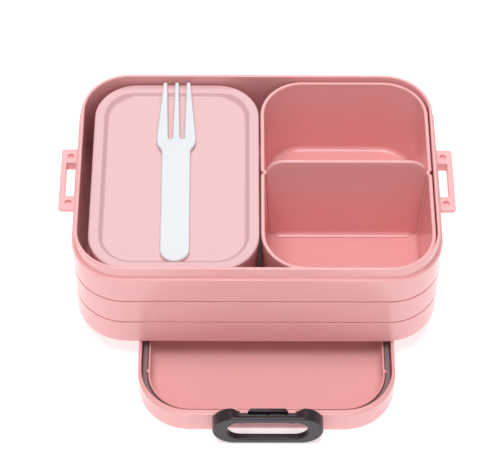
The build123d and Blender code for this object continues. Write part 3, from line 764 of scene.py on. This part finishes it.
class LUNCHBOX_OT_main_lid(bpy.types.Operator):
    """Builds the main lid with its nibs, clips and seal"""

    bl_idname = "lunch_box.main_lid"
    bl_label = "Main Lid"

    def execute(self, context):
        sizes = context.scene.main_lid_sizes
        low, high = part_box("lunch_box_lid")
        centre = box_middle(low, high)
        half_x = (high[0] - low[0]) / 2
        half_y = sizes.length / 2
        pocket_half = sizes.pocket_width / 2
        ramp = 0.5 * MM

        def end_extra(inset, height):
            if height < sizes.seat - 0.1 * MM and inset < sizes.rib_set_in:
                return 0.0
            return sizes.end_extra * clamp((inset - 0.4 * MM) / (sizes.skirt - 0.8 * MM))

        def pocket(x, y, normal_x, normal_y, inset, height):
            if abs(normal_y) < 0.999 or abs(x) > pocket_half or inset > sizes.skirt:
                return 0.0
            share = clamp((pocket_half - abs(x)) / ramp)
            return sizes.pocket_depth * share * (1 - inset / sizes.skirt)

        stations = (-pocket_half, ramp - pocket_half, pocket_half - ramp, pocket_half)
        mesh = shell(
            centre, half_x, half_y, sizes.corner, main_lid_profile(sizes),
            along_x=stations, shape=pocket, end_extra=end_extra,
        )
        add_piece("main_lid_panel", mesh, "pink_plastic", "main_lid", "lunch_box_lid")

        single = hidden_object("clip", clip_mesh(sizes))
        single.data.transform(Matrix.Translation((0, half_y, sizes.height)))
        values = {"Clip": single, "Spread": sizes.clip_place}
        clips = grow("Latch Clips", values, lambda tree: repeat_round(tree, "Clip", 2))
        move(clips, (centre[0], centre[1], 0))
        add_piece("main_lid_clips", clips, "pink_plastic", "main_lid", "lunch_box_lid")

        nib_low = sizes.seat + sizes.seal_height + NIB_ABOVE_SEAL
        nib_high = sizes.height - sizes.rib_drop - NIB_BELOW_RIB
        nibs = grow("Seal Nibs", {
            "Across": 2 * (half_x - sizes.rib_set_in),
            "Along": 2 * sizes.nib_place,
            "Nib Radius": sizes.nib_radius,
            "Nib Height": nib_high - nib_low,
        }, nib_tree)
        move(nibs, (centre[0], centre[1], (nib_low + nib_high) / 2))
        add_piece("main_lid_nibs", nibs, "pink_plastic", "main_lid", "lunch_box_lid")

        # the seal lies midway between the skirt and the rib
        seal_low, seal_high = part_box("lid_seal")
        middle = (sizes.skirt + sizes.rib_set_in) / 2
        seal = grow("Lid Seal", {
            "Path Width": seal_high[0] - seal_low[0] - sizes.seal_width,
            "Path Length": seal_high[1] - seal_low[1] - sizes.seal_width,
            "Path Corner": sizes.corner - middle,
            "Seal Width": sizes.seal_width,
            "Seal Height": sizes.seal_height,
            "Seal Round": SEAL_ROUND,
        }, seal_tree)
        move(seal, box_middle(seal_low, seal_high))
        add_piece("main_lid_seal", seal, "seal_rubber", "main_lid", "lid_seal")
        return {"FINISHED"}


# ---- latches ----------------------------------------------------------------------


def smooth_copy(node):
    """A CAD node's mesh with its triangles joined, for smooth shading."""
    mesh = bmesh.new()
    mesh.from_mesh(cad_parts[node].data)
    bmesh.ops.remove_doubles(mesh, verts=mesh.verts, dist=1e-6)
    return mesh


class LUNCHBOX_OT_latches(bpy.types.Operator):
    """Builds the two latches"""

    bl_idname = "lunch_box.latches"
    bl_label = "Latches"

    def execute(self, context):
        for end in ("front", "rear"):
            node = f"latch_{end}"
            add_piece(
                f"{node}_ring", smooth_copy(node),
                "charcoal_plastic", f"{end}_latch", node, sharp=32.0,
            )
        return {"FINISHED"}


# ---- snack box, food tray and their parts -------------------------------------------


def tub_profile(sizes, base, rim):
    """Foot, drafted wall, rim and inside of a tub."""
    slope = tan(sizes.draft)
    floor_under = base + sizes.foot
    floor_top = floor_under + sizes.floor
    low_inset = (rim - base) * slope
    inner_low = sizes.wall + (rim - floor_top) * slope
    return rounded([
        (low_inset + sizes.foot_width + 4 * MM, floor_under, 0),
        (low_inset + sizes.foot_width, floor_under, 0.3 * MM),
        (low_inset + sizes.foot_width, base, 0.3 * MM),
        (low_inset, base, 0.8 * MM),
        (0, rim, 0.55 * MM),
        (sizes.wall, rim, 0.55 * MM),
        (inner_low, floor_top, sizes.floor_fillet),
        (inner_low + 6 * MM, floor_top, 0),
    ], steps=7)


def tub_mesh(sizes, node, corner):
    """A drafted tub with a V-shaped fold at the middle of both long sides."""
    low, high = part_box(node)
    centre = box_middle(low, high)
    slope = tan(sizes.draft)
    half_fold = sizes.pleat_width / 2

    def fold(x, y, normal_x, normal_y, inset, height):
        if abs(normal_x) < 0.999 or abs(y) > half_fold:
            return 0.0
        past_wall = inset - sizes.wall - (high[2] - height) * slope
        depth = 1 - clamp(past_wall / sizes.floor_fillet)
        return sizes.pleat_reach * (1 - abs(y) / half_fold) * depth

    return shell(
        centre, (high[0] - low[0]) / 2, (high[1] - low[1]) / 2, corner,
        tub_profile(sizes, low[2], high[2]), along_y=(-half_fold, 0.0, half_fold), shape=fold,
    )


def snack_lid_mesh(sizes):
    """The snack box's lid: a border, a shallow recess and a plug underneath."""
    low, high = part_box("snack_box_lid")
    centre = box_middle(low, high)
    top = high[2]
    rim = top - sizes.lid_edge
    recess = top - sizes.lid_recess
    under = recess - sizes.lid_panel
    plug_outer = sizes.wall + sizes.plug_gap
    plug_inner = plug_outer + sizes.plug_wall
    slot_depth = 1.25 * MM
    slot_ramp = 0.2 * MM
    half_slot = sizes.pleat_width / 2 + 0.5 * MM
    profile = rounded([
        (plug_inner + 4 * MM, under, 0),
        (plug_inner, under, 0.4 * MM),
        (plug_inner, low[2], 0.4 * MM),
        (plug_outer, low[2], 0.4 * MM),
        (plug_outer, rim, 0.2 * MM),
        (0, rim, 0.35 * MM),
        (0, top, 0.75 * MM),
        (sizes.lid_border - 0.3 * MM, top, 1.3 * MM),
        (sizes.lid_border + 1.5 * MM, recess, 1.6 * MM),
        (sizes.lid_border + 6 * MM, recess, 0),
    ])

    def slot(x, y, normal_x, normal_y, inset, height):
        in_plug = plug_outer - 0.1 * MM < inset < plug_inner + 0.5 * MM and height < rim - 0.3 * MM
        if abs(normal_x) < 0.999 or abs(y) > half_slot or not in_plug:
            return 0.0
        return slot_depth * clamp((half_slot - abs(y)) / slot_ramp)

    stations = (-half_slot, slot_ramp - half_slot, half_slot - slot_ramp, half_slot)
    return shell(
        centre, (high[0] - low[0]) / 2, (high[1] - low[1]) / 2, sizes.snack_corner,
        profile, along_y=stations, shape=slot,
    )


def divider_mesh(sizes):
    """The upright divider: flared foot, round top edge, and a notch down both ends."""
    low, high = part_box("tray_divider")
    tray_low, tray_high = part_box("food_tray")
    middle_x = (tray_low[0] + tray_high[0]) / 2
    middle_y = (low[1] + high[1]) / 2
    slope = tan(sizes.draft)
    half = sizes.divider_thickness / 2
    inner_half = (tray_high[0] - tray_low[0]) / 2 - sizes.wall
    steps = 7
    side_gap = 0.9 * MM
    notch_gap = 1.85 * MM
    lip = 0.3 * MM
    flare_run = 2.5 * MM
    flare_start = 0.8      # of that run, from the divider's end
    foot_round = 2.6 * MM

    def reach(height, gap):
        return inner_half - (tray_high[2] - height) * slope - gap

    def section(bottom, top, flare):
        """Half of the section across the divider, from the foot up to its top edge."""
        foot = sizes.divider_foot * flare
        points = [(half + foot, bottom), (half + foot, bottom + lip)]
        for step in range(1, steps + 1):
            turn = pi / 2 * step / steps
            points.append((half + foot * (1 - sin(turn)), bottom + lip + foot * (1 - cos(turn))))
        for step in range(steps + 1):
            turn = pi / 2 * step / steps
            points.append((half * cos(turn), top - half + half * sin(turn)))
        return points

    full = reach(high[2], side_gap)
    corner = sizes.divider_corner
    stations = [0.0]
    for step in range(1, 15):
        stations.append(1 - corner / full * (1 - sin(pi / 2 * step / 14)))
    stations = sorted({-value for value in stations} | set(stations))
    mesh = bmesh.new()
    rings = []

    def round_off(from_end, radius):
        """How far a corner of that radius cuts in, at a distance from the divider's end."""
        past = max(0.0, radius - from_end)
        return radius - max(0.0, radius ** 2 - past ** 2) ** 0.5

    for station in stations:
        from_end = full - abs(station) * full
        flare = clamp(from_end / flare_run - flare_start)
        foot = low[2] + round_off(from_end, foot_round)
        half_section = section(foot, high[2] - round_off(from_end, corner), flare)
        mirrored = [(-y, height) for y, height in reversed(half_section[:-1])]
        rings.append([
            mesh.verts.new((middle_x + station * reach(height, side_gap), middle_y + y, height))
            for y, height in half_section + mirrored
        ])
    count = len(rings[0])
    for first, second in zip(rings, rings[1:]):
        for number in range(count):
            after = (number + 1) % count
            mesh.faces.new((first[number], first[after], second[after], second[number]))
    # the notch: a line down the middle of each end, set further in
    for ring, side in ((rings[0], -1), (rings[-1], 1)):
        middle = []
        for number in range(count // 2):
            level = ring[number].co.z
            middle.append(mesh.verts.new((middle_x + side * reach(level, notch_gap), middle_y, level)))
        middle.append(ring[count // 2])
        for number in range(count // 2):
            mirror_low = ring[(count - 1 - number) % count]
            mirror_high = ring[count - 2 - number]
            for low_edge, high_edge in ((ring[number], ring[number + 1]), (mirror_low, mirror_high)):
                corners = []
                for vertex in (low_edge, high_edge, middle[number + 1], middle[number]):
                    if vertex not in corners:
                        corners.append(vertex)
                if len(corners) > 2:
                    mesh.faces.new(corners)
        mesh.faces.new((ring[0], middle[0], ring[-1]))
    return mesh


class LUNCHBOX_OT_inner_boxes(bpy.types.Operator):
    """Builds the snack box, its lid, the food tray and the divider"""

    bl_idname = "lunch_box.inner_boxes"
    bl_label = "Inner Boxes"

    def execute(self, context):
        sizes = context.scene.inner_box_sizes
        add_piece(
            "snack_box_tub", tub_mesh(sizes, "snack_box", sizes.snack_corner),
            "pink_plastic", "snack_box", "snack_box",
        )
        add_piece(
            "snack_box_cover", snack_lid_mesh(sizes),
            "pale_pink_plastic", "snack_lid", "snack_box_lid",
        )
        add_piece(
            "food_tray_tub", tub_mesh(sizes, "food_tray", sizes.tray_corner),
            "pink_plastic", "food_tray", "food_tray",
        )
        add_piece(
            "tray_divider_wall", divider_mesh(sizes),
            "pink_plastic", "divider", "tray_divider",
        )
        return {"FINISHED"}


# ---- fork -------------------------------------------------------------------------


def fork_outline(sizes, tip):
    """The fork seen from above, its length along Y, from its end to its tips."""
    handle = sizes.handle / 2
    head = sizes.head / 2
    tip_half = (sizes.tip_spread + sizes.tine_tip) / 2
    prong = sizes.tine_tip / 2
    gap = sizes.tine_gap / 2
    gap_root = sizes.tip_spread / 4
    tip_round = prong * 0.85
    rise = sizes.widest - sizes.shoulder
    # the shoulder is a curve of four control points, as a share of its rise
    controls = ((handle, 0.0), (handle + 0.1 * MM, 0.3), (head, 0.28), (head, 1.0))
    side = []
    for step in range(13):
        part = step / 12
        rest = 1 - part
        shares = (rest ** 3, 3 * rest ** 2 * part, 3 * rest * part ** 2, part ** 3)
        reach = sum(share * control[0] for share, control in zip(shares, controls))
        along = sum(share * control[1] for share, control in zip(shares, controls))
        side.append((reach, sizes.shoulder + along * rise, 0))
    right = [
        (handle, 0.0, handle * 0.98),
        *side,
        (tip_half, tip, tip_round),
        (tip_half - sizes.tine_tip, tip, tip_round),
        (gap_root + gap, sizes.root, gap * 0.98),
        (gap_root - gap, sizes.root, gap * 0.98),
        (prong, tip, tip_round),
    ]
    left = [(-x, y, radius) for x, y, radius in reversed(right)]
    return rounded(right + left, steps=8)


class LUNCHBOX_OT_fork(bpy.types.Operator):
    """Builds the fork"""

    bl_idname = "lunch_box.fork"
    bl_label = "Fork"

    def execute(self, context):
        sizes = context.scene.fork_sizes
        low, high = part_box("fork")
        length_y = high[1] - low[1]
        neck = sizes.neck
        mesh = plate([fork_outline(sizes, length_y)], sizes.thickness, 0.7 * MM, 4)
        geometry = mesh.verts[:] + mesh.edges[:] + mesh.faces[:]
        bmesh.ops.bisect_plane(mesh, geom=geometry, plane_co=(0, neck, 0), plane_no=(0, 1, 0))
        for vertex in mesh.verts:
            climb = clamp((vertex.co.y - neck) / (length_y - neck))
            vertex.co.z += sizes.thickness / 2 + sizes.rise * climb
        turn = Matrix.Rotation(sizes.turn, 4, "Z")
        bmesh.ops.transform(mesh, matrix=turn, verts=mesh.verts)
        middle_x = (low[0] + high[0]) / 2 + FORK_ASIDE
        move(mesh, (middle_x, low[1], low[2]))
        add_piece("fork_blank", mesh, "white_plastic", "fork", "fork", sharp=50.0)
        return {"FINISHED"}


# ---- stage ------------------------------------------------------------------------


def area_light(name, place, size, power):
    """A round soft light at a place, turned to the lunch box."""
    data = bpy.data.lights.new(name, "AREA")
    data.shape = "DISK"
    data.size = size
    data.energy = power
    light = bpy.data.objects.new(name, data)
    light.location = place
    light.rotation_euler = (Vector(LIGHTS_AIM) - Vector(place)).to_track_quat("-Z", "Y").to_euler()
    bpy.context.scene.collection.objects.link(light)


def add_camera():
    """The camera, with its small roll."""
    place = Vector((-8.06, -579.8, 804.35)) * MM
    aim = Vector((-3.4, 1.0, 38.85)) * MM
    roll = radians(0.53)
    ahead = (aim - place).normalized()
    right = ahead.cross(Vector((0, 0, 1))).normalized()
    up = right.cross(ahead)
    turned_right = right * cos(roll) + up * sin(roll)
    turned_up = up * cos(roll) - right * sin(roll)
    data = bpy.data.cameras.new("Camera")
    data.sensor_width = 36.0
    data.lens = 146.25
    data.clip_start = 0.05
    data.clip_end = 20.0
    camera = bpy.data.objects.new("Camera", data)
    rotation = Matrix((turned_right, turned_up, -ahead)).transposed().to_4x4()
    camera.matrix_world = Matrix.Translation(place) @ rotation
    bpy.context.scene.collection.objects.link(camera)
    bpy.context.scene.camera = camera


class LUNCHBOX_OT_stage(bpy.types.Operator):
    """Sets the pale floor, the soft light and the camera"""

    bl_idname = "lunch_box.stage"
    bl_label = "Stage"

    def execute(self, context):
        add_camera()
        mesh = bmesh.new()
        bmesh.ops.create_grid(mesh, x_segments=1, y_segments=1, size=FLOOR_SIZE)
        data = bpy.data.meshes.new("floor")
        mesh.to_mesh(data)
        mesh.free()
        floor = bpy.data.objects.new("floor", data)
        paper = bpy.data.materials.new("Pale Floor")
        paper.use_nodes = True
        shader = paper.node_tree.nodes["Principled BSDF"]
        wire(paper.node_tree, shader, {
            "Base Color": context.scene.lunch_box_colours.floor,
            "Roughness": 0.9,
            "Specular IOR Level": 0.1,
            "Emission Color": (1.0, 1.0, 1.0, 1.0),
            "Emission Strength": FLOOR_GLOW,
        })
        data.materials.append(paper)
        context.scene.collection.objects.link(floor)

        world = bpy.data.worlds.new("Studio")
        world.use_nodes = True
        backdrop = world.node_tree.nodes["Background"]
        wire(world.node_tree, backdrop, {"Color": (1.0, 1.0, 1.0, 1.0), "Strength": ROOM_LIGHT})
        context.scene.world = world
        context.scene.view_settings.view_transform = "Standard"
        for softbox in SOFTBOXES:
            area_light(*softbox)
        return {"FINISHED"}


# ---- panel and registration ---------------------------------------------------------


class LUNCHBOX_PT_panel(bpy.types.Panel):
    """Lists the lunch box's sizes, colours and steps"""

    bl_label = "Bento Lunch Box"
    bl_idname = "LUNCHBOX_PT_panel"
    bl_space_type = "VIEW_3D"
    bl_region_type = "UI"
    bl_category = "Lunch Box"

    def draw(self, context):
        layout = self.layout
        for title, group, operators in SECTIONS:
            box = layout.box()
            box.label(text=title)
            values = getattr(context.scene, group)
            for name in values.__annotations__:
                box.prop(values, name)
            for operator in operators:
                box.operator(operator.bl_idname)


GROUPS = {
    "outer_box_sizes": OuterBoxSizes,
    "main_lid_sizes": MainLidSizes,
    "inner_box_sizes": InnerBoxSizes,
    "fork_sizes": ForkSizes,
    "lunch_box_colours": Colours,
}

SECTIONS = (
    ("Outer box", "outer_box_sizes", (LUNCHBOX_OT_outer_box,)),
    ("Main lid", "main_lid_sizes", (LUNCHBOX_OT_main_lid, LUNCHBOX_OT_latches)),
    ("Inner boxes", "inner_box_sizes", (LUNCHBOX_OT_inner_boxes,)),
    ("Fork", "fork_sizes", (LUNCHBOX_OT_fork,)),
    ("Colours and stage", "lunch_box_colours", (LUNCHBOX_OT_stage,)),
)

OPERATORS = [operator for _, _, operators in SECTIONS for operator in operators]


def register():
    for kind in (*GROUPS.values(), *OPERATORS, LUNCHBOX_PT_panel):
        bpy.utils.register_class(kind)
    for name, group in GROUPS.items():
        setattr(bpy.types.Scene, name, PointerProperty(type=group))


def unregister():
    for name in GROUPS:
        delattr(bpy.types.Scene, name)
    for kind in (LUNCHBOX_PT_panel, *reversed(OPERATORS), *reversed(GROUPS.values())):
        bpy.utils.unregister_class(kind)


def main():
    register()
    bpy.ops.lunch_box.outer_box()
    bpy.ops.lunch_box.main_lid()
    bpy.ops.lunch_box.latches()
    bpy.ops.lunch_box.inner_boxes()
    bpy.ops.lunch_box.fork()
    bpy.ops.lunch_box.stage()


if __name__ == "__main__":
    main()
